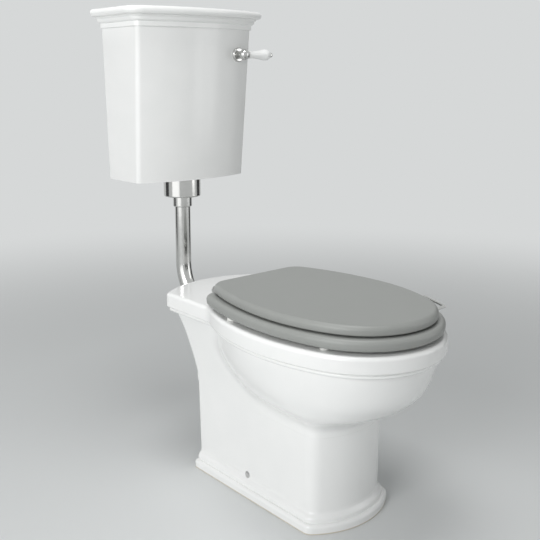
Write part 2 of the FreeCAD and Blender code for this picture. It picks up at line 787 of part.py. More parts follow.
def screw(x, y, head_low):
    head = rod(SCREW_HEAD_R, (x, y, head_low), (x, y, head_low + SCREW_HEAD_H))
    return head.fuse(rod(SCREW_R, (x, y, head_low), (x, y, head_low + SCREW_LENGTH)))


def screw_seats(places, low):
    cuts = []
    for x, y in places:
        cuts.append(rod(SCREW_HEAD_R + SCREW_FIT, (x, y, low - PAST), (x, y, low + SCREW_HEAD_H)))
        cuts.append(rod(SCREW_R + SCREW_FIT, (x, y, low), (x, y, low + SCREW_LENGTH)))
    return cuts


def seat_hinge_arms():
    x0, x1 = seat_arm_x()
    low = RING_Z - SEAT_STRAP_H
    eye = rod(ARM_EYE_R, (x0, HINGE_Y, HINGE_Z), (x1, HINGE_Y, HINGE_Z))
    web = block(x0, x1, SEAT_BACK_Y + ARM_SIDE_GAP, HINGE_Y, low, HINGE_Z)
    strap = block(x0, x1, SEAT_BACK_Y - STRAP_LENGTH, HINGE_Y, low, RING_Z)
    bore = rod(HINGE_BAR_R + RUNNING, (x0 - PAST, HINGE_Y, HINGE_Z), (x1 + PAST, HINGE_Y, HINGE_Z))
    arm = eye.fuse([web, strap]).cut([bore] + screw_seats(seat_screw_places(), low))
    return pair(arm)


def lid_hinge_arms():
    x0, x1 = lid_arm_x()
    low = LID_Z - LID_STRAP_H
    eye = rod(ARM_EYE_R, (x0, HINGE_Y, HINGE_Z), (x1, HINGE_Y, HINGE_Z))
    strap = block(x0, x1, SEAT_BACK_Y - STRAP_LENGTH, HINGE_Y, low, LID_Z)
    bore = rod(HINGE_BAR_R + RUNNING, (x0 - PAST, HINGE_Y, HINGE_Z), (x1 + PAST, HINGE_Y, HINGE_Z))
    return pair(eye.fuse(strap).cut([bore] + screw_seats(lid_screw_places(), low)))


def seat_screws():
    low = RING_Z - SEAT_STRAP_H
    shapes = [screw(s * x, y, low) for x, y in seat_screw_places() for s in (-1, 1)]
    return Part.makeCompound(shapes)


def lid_screws():
    low = LID_Z - LID_STRAP_H
    shapes = [screw(s * x, y, low) for x, y in lid_screw_places() for s in (-1, 1)]
    return Part.makeCompound(shapes)


def hinge_posts():
    foot = rod(POST_FOOT_R, (HINGE_X, HINGE_Y, RIM_Z), (HINGE_X, HINGE_Y, RIM_Z + POST_FOOT_H))
    pillar = rod(POST_R, (HINGE_X, HINGE_Y, RIM_Z), (HINGE_X, HINGE_Y, HINGE_Z))
    x0 = HINGE_X - POST_EYE_W / 2
    x1 = HINGE_X + POST_EYE_W / 2
    eye = rod(POST_EYE_R, (x0, HINGE_Y, HINGE_Z), (x1, HINGE_Y, HINGE_Z))
    bore = rod(HINGE_BAR_R + RUNNING, (x0 - PAST, HINGE_Y, HINGE_Z), (x1 + PAST, HINGE_Y, HINGE_Z))
    return pair(foot.fuse([pillar, eye]).cut(bore))


def hinge_bar():
    end = seat_arm_x()[1] + HINGE_BAR_R
    return rod(HINGE_BAR_R, (-end, HINGE_Y, HINGE_Z), (end, HINGE_Y, HINGE_Z))


def fixing_studs():
    return pair(rod(STUD_R, (HINGE_X, HINGE_Y, RIM_Z - STUD_LENGTH), (HINGE_X, HINGE_Y, RIM_Z)))


def fixing_plugs():
    return pair(ring_z(PLUG_R, STUD_R + PLUG_FIT, HINGE_X, HINGE_Y, RIM_Z - STUD_LENGTH, RIM_Z))


def buffers(places, r, z0, z1):
    return Part.makeCompound([rod(r, (s * x, y, z0), (s * x, y, z1)) for x, y in places for s in (-1, 1)])


def ring_buffers():
    return buffers([BUFFER_REAR, BUFFER_FRONT], BUFFER_R, RIM_Z + REST_GAP, RING_Z)


def lid_buffers():
    return buffers([LID_BUFFER_REAR, LID_BUFFER_FRONT], LID_BUFFER_R, LID_Z - LID_GAP + REST_GAP, LID_Z)


def handle_ends():
    # Bar ends and the points inside the ring where the legs stop.
    dx = HANDLE_FRONT[0] - HANDLE_REAR[0]
    dy = HANDLE_FRONT[1] - HANDLE_REAR[1]
    size = math.hypot(dx, dy)
    inward = (dy / size * HANDLE_REACH, -dx / size * HANDLE_REACH)
    root_z = RING_Z + RING_H / 2
    pairs = []
    for p in (HANDLE_REAR, HANDLE_FRONT):
        pairs.append(((p[0], p[1], HANDLE_Z), (p[0] + inward[0], p[1] + inward[1], root_z)))
    return pairs


def handle_legs(r):
    return [rod(r, tip, root) for tip, root in handle_ends()]


def seat_handle():
    (tip_a, root_a), (tip_b, root_b) = handle_ends()
    knees = [Part.makeSphere(HANDLE_R, vec(*p)) for p in (tip_a, tip_b)]
    return rod(HANDLE_R, tip_a, tip_b).fuse(handle_legs(HANDLE_R) + knees)


def cistern_half(half, depth, g, back_y):
    # Straight back and sides, round front corners, bowed front, grown outwards by g.
    big_r = (half * half + CIS_BOW * CIS_BOW) / (2 * CIS_BOW) + g
    centre = (0, WALL_Y - depth - CIS_BOW + big_r - g)
    w = half + g
    r = max(CIS_CORNER_R + g, CIS_LEAST_CORNER_R)
    k = (w - r, centre[1] - math.sqrt((big_r - r) ** 2 - (w - r) ** 2))
    p = toward(centre, k, big_r)
    return [((0, back_y), (w, back_y)), ((w, back_y), (w, k[1])), bend(k, (w, k[1]), p),
            bend(centre, p, (0, centre[1] - big_r))]


def cistern_level(z, g, back_y):
    share = (z - CIS_BOTTOM_Z) / (CIS_TOP_Z - CIS_BOTTOM_Z)
    half = CIS_BOTTOM_HALF + share * (CIS_TOP_HALF - CIS_BOTTOM_HALF)
    depth = CIS_BOTTOM_DEPTH + share * (CIS_TOP_DEPTH - CIS_BOTTOM_DEPTH)
    return cistern_half(half, depth, g, back_y)


def cistern_side_x(z):
    share = (z - CIS_BOTTOM_Z) / (CIS_TOP_Z - CIS_BOTTOM_Z)
    return CIS_BOTTOM_HALF + share * (CIS_TOP_HALF - CIS_BOTTOM_HALF)


def cistern():
    outer = loft([mirrored_wire(cistern_level(z, 0.0, WALL_Y), z) for z in (CIS_BOTTOM_Z, CIS_TOP_Z)], True)
    back = WALL_Y - CIS_WALL
    inner = loft([mirrored_wire(cistern_level(z, -CIS_WALL, back), z) for z in (FLOOR_Z, CIS_TOP_Z)], True)
    pad = rod(BOSS_PAD_R, (LEVER_X, PAD_FRONT_Y, LEVER_Z), (LEVER_X, PAD_BACK_Y, LEVER_Z))
    side = cistern_side_x(VALVE_Z)
    cuts = [rod(TAIL_R + TAIL_CLEAR, (0, PIPE_Y, CIS_BOTTOM_Z - PAST), (0, PIPE_Y, FLOOR_Z + PAST)),
            rod(SLEEVE_R + SLEEVE_FIT, (LEVER_X, PAD_FRONT_Y - PAST, LEVER_Z),
                (LEVER_X, PAD_BACK_Y + PAST, LEVER_Z)),
            rod(VALVE_TAIL_R + TAIL_CLEAR, (side - 2 * CIS_WALL, VALVE_Y, VALVE_Z),
                (side + CIS_WALL, VALVE_Y, VALVE_Z))]
    for s in (-1, 1):
        cuts.append(rod(FIXING_R, (s * FIXING_X, back - PAST, FIXING_Z),
                        (s * FIXING_X, WALL_Y + PAST, FIXING_Z)))
    return outer.cut(inner).fuse(pad).cut(cuts)


def top_half(g):
    return cistern_half(CIS_TOP_HALF, CIS_TOP_DEPTH, g, WALL_Y + min(g, 0.0))


def cistern_lid():
    low = CIS_TOP_Z - LID_SKIRT
    cove_z = low + LID_BAND_H
    crown_z = cove_z + COVE_H
    band = prism(top_half(LID_BAND_OUT), low, cove_z)
    steps = [(0.0, 0.0), (0.09, 0.18), (0.2, 0.31), (0.34, 0.38), (0.52, 0.42), (0.7, 0.51),
             (0.87, 0.7), (1.0, 1.0)]
    flare = COVE_TOP_OUT - COVE_LOW_OUT
    cove = loft([mirrored_wire(top_half(COVE_LOW_OUT + k * flare), cove_z + h * COVE_H) for h, k in steps])
    crown = prism(top_half(LID_OVERHANG), crown_z, crown_z + CROWN_H)
    rims = level_edges(crown, crown_z) + level_edges(crown, crown_z + CROWN_H)
    crown = crown.makeFillet(CROWN_ROUND, [e for e in rims if e.BoundBox.YMin < WALL_Y - PAST])
    lip_g = -CIS_WALL - LID_LIP_GAP
    lip = prism(top_half(lip_g), CIS_TOP_Z - LID_LIP_H, cove_z)
    seat = prism(top_half(LID_FIT), low - PAST, CIS_TOP_Z + REST_GAP)
    pocket = prism(top_half(lip_g - LID_LIP_W), CIS_TOP_Z - LID_LIP_H - PAST, crown_z + CROWN_H - LID_TOP_H)
    return band.multiFuse([cove, crown]).cut(seat).fuse(lip).cut(pocket)


def pipe_sweep(r):
    turn_y = PIPE_Y - PIPE_BEND_R
    mid = PIPE_BEND_R * math.sqrt(0.5)
    top = vec(0, PIPE_Y, TAIL_END_Z + PIPE_INTO_TAIL)
    a = vec(0, PIPE_Y, PIPE_BEND_Z)
    m = vec(0, turn_y + mid, PIPE_BEND_Z - mid)
    b = vec(0, turn_y, INLET_Z)
    end = vec(0, turn_y - PIPE_INTO_PAN, INLET_Z)
    path = Part.Wire([Part.makeLine(top, a), Part.Arc(a, m, b).toShape(), Part.makeLine(b, end)])
    start = Part.Wire([Part.Circle(top, vec(0, 0, -1), r).toShape()])
    return path.makePipeShell([start], True, False)


def flush_pipe():
    return pipe_sweep(PIPE_R).cut(pipe_sweep(PIPE_R - PIPE_WALL))


def flush_cone():
    tip = PIPE_Y - PIPE_BEND_R
    shoulder = tip - CONE_TIP
    r = INLET_R - CONE_FIT
    low = INLET_Y + CONE_FIT
    cone = Part.makeCone(r, CONE_TIP_R, CONE_TIP, vec(0, shoulder, INLET_Z), vec(0, 1, 0))
    stop = tip - PIPE_INTO_PAN - CONE_FIT
    return rod(r, (0, low, INLET_Z), (0, shoulder, INLET_Z)).fuse(cone).cut([
        rod(CHANNEL_R, (0, low - PAST, INLET_Z), (0, stop + PAST, INLET_Z)),
        rod(PIPE_R + PLUG_FIT, (0, stop, INLET_Z), (0, tip + PAST, INLET_Z))])


def pipe_collar():
    low = CIS_BOTTOM_Z - COLLAR_H
    cup = rod(COLLAR_R, (0, PIPE_Y, low), (0, PIPE_Y, CIS_BOTTOM_Z - REST_GAP))
    cup = cup.makeFillet(COLLAR_ROUND, level_edges(cup, low))
    return cup.cut([rod(COLLAR_R - COLLAR_WALL, (0, PIPE_Y, low + COLLAR_ROUND), (0, PIPE_Y, CIS_BOTTOM_Z)),
                    rod(TAIL_NECK_R + TAIL_FIT, (0, PIPE_Y, low - PAST), (0, PIPE_Y, CIS_BOTTOM_Z))])


def pipe_nut():
    top = CIS_BOTTOM_Z - COLLAR_H - REST_GAP
    low = top - NUT_H
    body = rod(NUT_R, (0, PIPE_Y, low), (0, PIPE_Y, top))
    body = body.makeFillet(NUT_ROUND, level_edges(body, low))
    hole = rod(PIPE_R + TAIL_FIT, (0, PIPE_Y, low - PAST), (0, PIPE_Y, top))
    seat = rod(TAIL_NECK_R + TAIL_FIT, (0, PIPE_Y, TAIL_END_Z - PIPE_SEAL_H), (0, PIPE_Y, top + PAST))
    return body.cut([hole, seat])


def pipe_seal():
    return ring_z(TAIL_NECK_R, PIPE_R + PLUG_FIT, 0, PIPE_Y, TAIL_END_Z - PIPE_SEAL_H, TAIL_END_Z)


def siphon_backnut():
    top = CIS_BOTTOM_Z - REST_GAP
    return nut_z(HEX, BACKNUT_R, TAIL_R + PLUG_FIT, 0, PIPE_Y, top - BACKNUT_H, top)


def siphon_seal():
    return ring_z(SEAL_R, TAIL_R + TAIL_FIT, 0, PIPE_Y, FLOOR_Z, FLOOR_Z + SEAL_H)


def siphon_body():
    base = FLOOR_Z + SEAL_H
    cx = CHAMBER_X
    low = FLOOR_Z + CHAMBER_CLEAR
    roof = SIPHON_TOP - CROWN_WALL
    outer = rod(FLANGE_R, (0, PIPE_Y, base), (0, PIPE_Y, base + FLANGE_H)).fuse([
        rod(TAIL_R, (0, PIPE_Y, TAIL_STEP_Z), (0, PIPE_Y, base)),
        rod(TAIL_NECK_R, (0, PIPE_Y, TAIL_END_Z), (0, PIPE_Y, TAIL_STEP_Z)),
        rod(LEG_R, (0, PIPE_Y, base), (0, PIPE_Y, SIPHON_TOP)),
        rod(CHAMBER_R, (cx, PIPE_Y, low), (cx, PIPE_Y, SIPHON_TOP)),
        block(0, cx, PIPE_Y - CROWN_HALF, PIPE_Y + CROWN_HALF, SIPHON_CROWN_Z, SIPHON_TOP),
        rod(BOSS_R, (cx, PIPE_Y, roof), (cx, PIPE_Y, SIPHON_TOP + BOSS_H))])
    way = CROWN_HALF - CROWN_WALL
    return outer.cut([
        rod(PIPE_R + TAIL_FIT, (0, PIPE_Y, TAIL_END_Z - PAST), (0, PIPE_Y, roof)),
        rod(CHAMBER_R - CHAMBER_WALL, (cx, PIPE_Y, low - PAST), (cx, PIPE_Y, roof)),
        block(0, cx, PIPE_Y - way, PIPE_Y + way, SIPHON_CROWN_Z + CROWN_WALL, roof),
        rod(LIFT_ROD_R + RUNNING, (cx, PIPE_Y, roof - PAST), (cx, PIPE_Y, SIPHON_TOP + BOSS_H + PAST))])


def pin_rest():
    a = math.radians(CRANK_REST)
    return LEVER_X - CRANK_LENGTH * math.cos(a), LEVER_Z - CRANK_LENGTH * math.sin(a)


def plate_z():
    return FLOOR_Z + CHAMBER_CLEAR + PLATE_UP


def siphon_plate():
    r = CHAMBER_R - CHAMBER_WALL - PLATE_GAP
    z = plate_z()
    disc = rod(r, (CHAMBER_X, PIPE_Y, z), (CHAMBER_X, PIPE_Y, z + PLATE_H))
    holes = []
    for dx, dy in ((1, 0), (-1, 0), (0, 1), (0, -1)):
        p = (CHAMBER_X + dx * PLATE_HOLE_AT, PIPE_Y + dy * PLATE_HOLE_AT)
        holes.append(rod(PLATE_HOLE_R, (p[0], p[1], z - PAST), (p[0], p[1], z + PLATE_H + PAST)))
    return disc.cut(holes)


def lift_rod():
    pin_x, pin_z = pin_rest()
    bottom = plate_z() + PLATE_H
    low = pin_z - EYE_PLATE_HALF
    stem = rod(LIFT_ROD_R, (CHAMBER_X, PIPE_Y, bottom), (CHAMBER_X, PIPE_Y, low + PAST))
    y0 = PIPE_Y - EYE_PLATE_H / 2
    y1 = PIPE_Y + EYE_PLATE_H / 2
    wide = EYE_PLATE_HALF + SLOT_RUN
    plate = block(CHAMBER_X - wide, CHAMBER_X + wide, y0, y1, low, pin_z + EYE_PLATE_HALF)
    r = CRANK_PIN_R + SLOT_GAP
    x0 = pin_x - SLOT_RUN
    x1 = pin_x + SLOT_RUN
    slot = block(x0, x1, y0 - PAST, y1 + PAST, pin_z - r, pin_z + r).fuse([
        rod(r, (x0, y0 - PAST, pin_z), (x0, y1 + PAST, pin_z)),
        rod(r, (x1, y0 - PAST, pin_z), (x1, y1 + PAST, pin_z))])
    return stem.fuse(plate).cut(slot)


def lever_escutcheon():
    face = PAD_FRONT_Y - ESCUTCHEON_H
    disc = rod(ESCUTCHEON_R, (LEVER_X, face, LEVER_Z), (LEVER_X, PAD_FRONT_Y, LEVER_Z))
    front = [e for e in disc.Edges if abs(e.BoundBox.YMax - face) < 1e-4]
    disc = disc.makeFillet(ESCUTCHEON_H / 2, front)
    sleeve = rod(SLEEVE_R, (LEVER_X, face + PAST, LEVER_Z), (LEVER_X, PAD_FRONT_Y + SLEEVE_LENGTH, LEVER_Z))
    bore = rod(SPINDLE_R + RUNNING, (LEVER_X, face - PAST, LEVER_Z),
               (LEVER_X, PAD_FRONT_Y + SLEEVE_LENGTH + PAST, LEVER_Z))
    return disc.fuse(sleeve).cut(bore)


def lever_backnut():
    return nut_along(HEX, LEVER_NUT_R, SLEEVE_R + PLUG_FIT, (LEVER_X, PAD_BACK_Y + REST_GAP, LEVER_Z),
                     (0, 1, 0), LEVER_NUT_H)


def lever_hub():
    # Turned on the lever's axis: ball, neck and spindle, with a flat that takes the handle.
    def at(y, r):
        return vec(LEVER_X, y, LEVER_Z + r)
    neck_y = HUB_FACE_Y - HUB_NECK_LENGTH
    end = CRANK_Y + CRANK_H
    nose = at(HUB_Y - HUB_R, 0)
    corners = [at(neck_y, HUB_NECK_R), at(HUB_FACE_Y, HUB_NECK_R), at(HUB_FACE_Y, SPINDLE_R),
               at(end, SPINDLE_R), at(end, 0), nose]
    edges = [Part.makeLine(p, q) for p, q in zip(corners, corners[1:])]
    ball = Part.Arc(nose, at(HUB_Y, HUB_R), corners[0]).toShape()
    hub = Part.Face(Part.Wire([ball] + edges)).revolve(nose, vec(0, 1, 0), 360)
    wide = 2 * HUB_R
    return hub.cut(block(LEVER_X + HANDLE_START, LEVER_X + wide, HUB_Y - wide, HUB_FACE_Y,
                         LEVER_Z - wide, LEVER_Z + wide))


def lever_handle():
    # Turned on the X axis: a slim shaft, a swelling near its end, then a quick taper.
    x0 = LEVER_X + HANDLE_START
    base = vec(x0, HUB_Y, LEVER_Z)
    def at(along, r):
        return base + vec(along, 0, r)
    curve = Part.BSplineCurve()
    curve.interpolate([at(0, HANDLE_ROOT_R), at(HANDLE_SLIM_AT, HANDLE_SLIM_R),
                       at((HANDLE_SLIM_AT + HANDLE_WIDE_AT) / 2, (HANDLE_SLIM_R + HANDLE_WIDE_R) / 2),
                       at(HANDLE_WIDE_AT, HANDLE_WIDE_R), at(HANDLE_LENGTH, HANDLE_END_R)])
    edges = [curve.toShape(), Part.makeLine(at(HANDLE_LENGTH, HANDLE_END_R), at(HANDLE_LENGTH, 0)),
             Part.makeLine(at(HANDLE_LENGTH, 0), base), Part.makeLine(base, at(0, HANDLE_ROOT_R))]
    return Part.Face(Part.Wire(edges)).revolve(base, vec(1, 0, 0), 360)


def lever_finial():
    x0 = LEVER_X + HANDLE_START + HANDLE_LENGTH
    cap = rod(FINIAL_R, (x0, HUB_Y, LEVER_Z), (x0 + FINIAL_LENGTH, HUB_Y, LEVER_Z))
    end = [e for e in cap.Edges if e.BoundBox.XMin > x0 + FINIAL_LENGTH - 1e-4]
    return cap.makeFillet(FINIAL_R * FINIAL_ROUND_SHARE, end)


def lever_crank():
    pin_x, pin_z = pin_rest()
    y0 = CRANK_Y - CRANK_H
    eye = rod(CRANK_EYE_R, (LEVER_X, y0 - CRANK_H, LEVER_Z), (LEVER_X, CRANK_Y + CRANK_H, LEVER_Z))
    arm = block(LEVER_X - CRANK_LENGTH - CRANK_W / 2, LEVER_X, y0, CRANK_Y, LEVER_Z - CRANK_W / 2,
                LEVER_Z + CRANK_W / 2)
    arm = turned(arm, (LEVER_X, 0, LEVER_Z), (0, 1, 0), -CRANK_REST)
    pin = rod(CRANK_PIN_R, (pin_x, y0, pin_z), (pin_x, PIPE_Y + PIN_PAST, pin_z))
    hole = rod(SPINDLE_R + PLUG_FIT, (LEVER_X, y0 - CRANK_H - PAST, LEVER_Z),
               (LEVER_X, CRANK_Y + CRANK_H + PAST, LEVER_Z))
    return eye.fuse([arm, pin]).cut(hole)


def valve_inner_x():
    return cistern_side_x(VALVE_Z) - CIS_WALL - WALL_GAP


def inlet_valve():
    stop = valve_inner_x() - WASHER_H
    flange = stop - VALVE_FLANGE_H
    body = rod(VALVE_R, (VALVE_TIP_X, VALVE_Y, VALVE_Z), (flange, VALVE_Y, VALVE_Z)).fuse([
        rod(VALVE_FLANGE_R, (flange, VALVE_Y, VALVE_Z), (stop, VALVE_Y, VALVE_Z)),
        rod(VALVE_TAIL_R, (stop, VALVE_Y, VALVE_Z),
            (VALVE_TAIL_END_X - VALVE_END_LENGTH, VALVE_Y, VALVE_Z)),
        rod(VALVE_END_R, (stop, VALVE_Y, VALVE_Z), (VALVE_TAIL_END_X, VALVE_Y, VALVE_Z))])
    low = PIVOT_Z - EAR_REACH
    for s in (-1, 1):
        near = VALVE_Y + s * EAR_GAP / 2
        far = near + s * EAR_H
        body = body.fuse(block(PIVOT_X - EAR_REACH, VALVE_TIP_X + VALVE_R, min(near, far), max(near, far),
                               low, VALVE_Z))
    y0 = VALVE_Y - VALVE_R
    y1 = VALVE_Y + VALVE_R
    return body.cut([
        rod(PLUNGER_R + RUNNING, (VALVE_TIP_X - PAST, VALVE_Y, VALVE_Z),
            (VALVE_TIP_X + PLUNGER_BORE, VALVE_Y, VALVE_Z)),
        rod(VALVE_BORE_R, (VALVE_TIP_X, VALVE_Y, VALVE_Z), (VALVE_TAIL_END_X + PAST, VALVE_Y, VALVE_Z)),
        rod(PIVOT_PIN_R + PLUG_FIT, (PIVOT_X, y0, PIVOT_Z), (PIVOT_X, y1, PIVOT_Z))])


def inlet_washer():
    end = valve_inner_x()
    return ring_x(VALVE_FLANGE_R, VALVE_TAIL_R + PLUG_FIT, end - WASHER_H, end, VALVE_Y, VALVE_Z)


def inlet_backnut():
    start = cistern_side_x(VALVE_Z) + WALL_GAP
    return nut_along(HEX, VALVE_NUT_R, VALVE_TAIL_R + PLUG_FIT, (start, VALVE_Y, VALVE_Z),
                     (1, 0, 0), VALVE_NUT_H)


def valve_plunger():
    lug_face = PIVOT_X - PIVOT_DOWN * math.tan(math.radians(FLOAT_REST)) + LUG_HALF
    tip = lug_face + 2 * LUG_GAP
    shoulder = tip + NOSE_LENGTH
    nose = rod(NOSE_R, (tip, VALVE_Y, VALVE_Z), (shoulder, VALVE_Y, VALVE_Z))
    return nose.fuse(rod(PLUNGER_R, (shoulder, VALVE_Y, VALVE_Z),
                         (shoulder + PLUNGER_LENGTH, VALVE_Y, VALVE_Z)))


def float_pin():
    reach = EAR_GAP / 2 + EAR_H + PIVOT_PIN_PROUD
    return rod(PIVOT_PIN_R, (PIVOT_X, VALVE_Y - reach, PIVOT_Z), (PIVOT_X, VALVE_Y + reach, PIVOT_Z))


def float_centre():
    a = math.radians(FLOAT_REST)
    return (PIVOT_X - FLOAT_REACH * math.cos(a), VALVE_Y - FLOAT_AHEAD, PIVOT_Z - FLOAT_REACH * math.sin(a))


def float_rod():
    # Level stem and upright lug, then tipped down to where the float hangs.
    stem = rod(FLOAT_ARM_R, (PIVOT_X, VALVE_Y, PIVOT_Z), (PIVOT_X - FLOAT_REACH, VALVE_Y, PIVOT_Z))
    half = ARM_EYE_WIDTH / 2
    eye = rod(ARM_EYE_OUTER, (PIVOT_X, VALVE_Y - half, PIVOT_Z), (PIVOT_X, VALVE_Y + half, PIVOT_Z))
    lug = block(PIVOT_X - LUG_HALF, PIVOT_X + LUG_HALF, VALVE_Y - half, VALVE_Y + half,
                PIVOT_Z, PIVOT_Z + LUG_H)
    hole = rod(PIVOT_PIN_R + RUNNING, (PIVOT_X, VALVE_Y - half - PAST, PIVOT_Z),
               (PIVOT_X, VALVE_Y + half + PAST, PIVOT_Z))
    arm = eye.fuse([stem, lug]).cut(hole)
    return turned(arm, (PIVOT_X, 0, PIVOT_Z), (0, 1, 0), -FLOAT_REST)


def float_ball():
    socket = rod(FLOAT_ARM_R + PLUG_FIT, (PIVOT_X, VALVE_Y, PIVOT_Z),
                 (PIVOT_X - FLOAT_REACH, VALVE_Y, PIVOT_Z))
    socket = turned(socket, (PIVOT_X, 0, PIVOT_Z), (0, 1, 0), -FLOAT_REST)
    return Part.makeSphere(FLOAT_R, vec(*float_centre())).cut(socket)


NODES = {
    "pan_rim": pan_rim, "pan_bowl": pan_bowl, "pan_pedestal": pan_pedestal, "pan_trap": pan_trap,
    "pan_plinth": pan_plinth, "seat_ring": seat_ring, "seat_lid": seat_lid,
    "seat_hinge_arms": seat_hinge_arms, "lid_hinge_arms": lid_hinge_arms,
    "seat_screws": seat_screws, "lid_screws": lid_screws, "hinge_posts": hinge_posts,
    "hinge_bar": hinge_bar, "fixing_studs": fixing_studs, "fixing_plugs": fixing_plugs,
    "ring_buffers": ring_buffers, "lid_buffers": lid_buffers,
    "seat_handle": seat_handle, "cistern": cistern, "cistern_lid": cistern_lid, "flush_pipe": flush_pipe,
    "flush_cone": flush_cone, "pipe_collar": pipe_collar, "pipe_nut": pipe_nut, "pipe_seal": pipe_seal,
    "siphon_backnut": siphon_backnut, "siphon_seal": siphon_seal, "siphon_body": siphon_body,
    "siphon_plate": siphon_plate, "lift_rod": lift_rod, "lever_escutcheon": lever_escutcheon,
    "lever_backnut": lever_backnut, "lever_hub": lever_hub, "lever_handle": lever_handle,
    "lever_finial": lever_finial, "lever_crank": lever_crank, "inlet_valve": inlet_valve,
    "inlet_washer": inlet_washer, "inlet_backnut": inlet_backnut, "valve_plunger": valve_plunger,
    "float_pin": float_pin, "float_rod": float_rod, "float_ball": float_ball,
}

os.makedirs("parts", exist_ok=True)
for name, make in NODES.items():
    make().exportStep("parts/" + name + ".step")
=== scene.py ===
import bpy
import json
import math
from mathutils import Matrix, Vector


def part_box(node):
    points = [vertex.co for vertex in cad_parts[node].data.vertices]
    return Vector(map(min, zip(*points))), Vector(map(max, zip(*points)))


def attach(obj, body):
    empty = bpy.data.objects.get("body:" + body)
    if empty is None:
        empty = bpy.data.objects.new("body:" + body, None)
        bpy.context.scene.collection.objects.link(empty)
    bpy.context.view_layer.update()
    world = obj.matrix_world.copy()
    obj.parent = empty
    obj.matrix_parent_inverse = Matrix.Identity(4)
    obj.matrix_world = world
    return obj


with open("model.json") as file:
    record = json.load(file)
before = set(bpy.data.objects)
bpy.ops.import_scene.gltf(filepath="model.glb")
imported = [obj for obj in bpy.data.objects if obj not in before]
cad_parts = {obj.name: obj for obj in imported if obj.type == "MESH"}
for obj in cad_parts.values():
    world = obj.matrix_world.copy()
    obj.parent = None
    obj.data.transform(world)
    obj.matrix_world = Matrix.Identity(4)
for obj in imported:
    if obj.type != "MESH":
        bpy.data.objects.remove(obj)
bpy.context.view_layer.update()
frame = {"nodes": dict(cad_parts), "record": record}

# The pan: one slip-cast piece of vitreous china with a moulded rim and plinth, dipped in white glaze
# and fired. It stands by its own weight, and screws through its foot hold it down.


def srgb(code):
    # Linear colour of an sRGB hex value.
    parts = [int(code[i:i + 2], 16) / 255 for i in (1, 3, 5)]
    return [p / 12.92 if p <= 0.04045 else ((p + 0.055) / 1.055) ** 2.4 for p in parts] + [1.0]


def add_node(tree, kind, inputs, **settings):
    # A value is set on its socket, and another node's output is linked to it.
    made = tree.nodes.new(kind)
    for name, value in settings.items():
        setattr(made, name, value)
    for name, value in inputs.items():
        if isinstance(value, bpy.types.NodeSocket):
            tree.links.new(value, made.inputs[name])
        else:
            made.inputs[name].default_value = value
    return made


def new_finish(name):
    # An empty material, its tree, its shader and the place on the piece.
    made = bpy.data.materials.new(name)
    made.use_nodes = True
    tree = made.node_tree
    place = add_node(tree, "ShaderNodeTexCoord", {}).outputs["Object"]
    return made, tree, tree.nodes["Principled BSDF"], place


def dress(finish, *names):
    # Gives every slot of these CAD nodes the finish.
    for name in names:
        for slot in frame["nodes"][name].material_slots:
            slot.material = finish


# Glazed vitreous china: a hard white body under clear glass. The glaze pools and thins over some
# 70 mm, which shifts its white a little, and its skin has a faint ripple of about 18 mm. The lowest
# 2 mm, which stood on the kiln shelf, is bare cream biscuit.
china, tree, shader, place = new_finish("glazed_vitreous_china")
pooling = add_node(tree, "ShaderNodeTexNoise", {"Vector": place, "Scale": 1 / 0.070, "Detail": 2.0})
white = add_node(tree, "ShaderNodeMix", {0: pooling.outputs["Fac"], 6: srgb("#eff0ef"), 7: srgb("#f5f5f4")},
                 data_type="RGBA")
ripple = add_node(tree, "ShaderNodeTexNoise", {"Vector": place, "Scale": 1 / 0.018, "Detail": 1.0})
skin = add_node(tree, "ShaderNodeBump", {"Height": ripple.outputs["Fac"], "Strength": 0.10,
                                         "Distance": 0.0004})
height = add_node(tree, "ShaderNodeSeparateXYZ", {"Vector": place}).outputs["Z"]
glazed = add_node(tree, "ShaderNodeMapRange", {"Value": height, "From Min": 0.0018, "From Max": 0.0024})
biscuit = add_node(tree, "ShaderNodeMix", {0: glazed.outputs["Result"], 6: srgb("#d8d0c1"),
                                           7: white.outputs[2]}, data_type="RGBA")
gloss = add_node(tree, "ShaderNodeMapRange", {"Value": pooling.outputs["Fac"], "To Min": 0.13,
                                              "To Max": 0.19})
tree.links.new(biscuit.outputs[2], shader.inputs["Base Color"])
tree.links.new(gloss.outputs["Result"], shader.inputs["Roughness"])
tree.links.new(skin.outputs["Normal"], shader.inputs["Normal"])
shader.inputs["IOR"].default_value = 1.52
dress(china, "pan_rim", "pan_bowl", "pan_pedestal", "pan_trap", "pan_plinth")

# The seat fixings: two rubber plugs pressed into the deck, each gripping a steel stud, with turned
# and chromed posts screwed down on them. The posts carry one chromed bar that the seat turns on.

# Moulded rubber: black, dull, with a fine grain of about 1.5 mm.
rubber, tree, shader, place = new_finish("moulded_black_rubber")
grain = add_node(tree, "ShaderNodeTexNoise", {"Vector": place, "Scale": 1 / 0.0015, "Detail": 3.0})
black = add_node(tree, "ShaderNodeMix", {0: grain.outputs["Fac"], 6: srgb("#1c1c1c"), 7: srgb("#2a2a2a")},
                 data_type="RGBA")
pores = add_node(tree, "ShaderNodeBump", {"Height": grain.outputs["Fac"], "Strength": 0.25,
                                          "Distance": 0.0002})
tree.links.new(black.outputs[2], shader.inputs["Base Color"])
tree.links.new(pores.outputs["Normal"], shader.inputs["Normal"])
shader.inputs["Roughness"].default_value = 0.62
dress(rubber, "fixing_plugs")

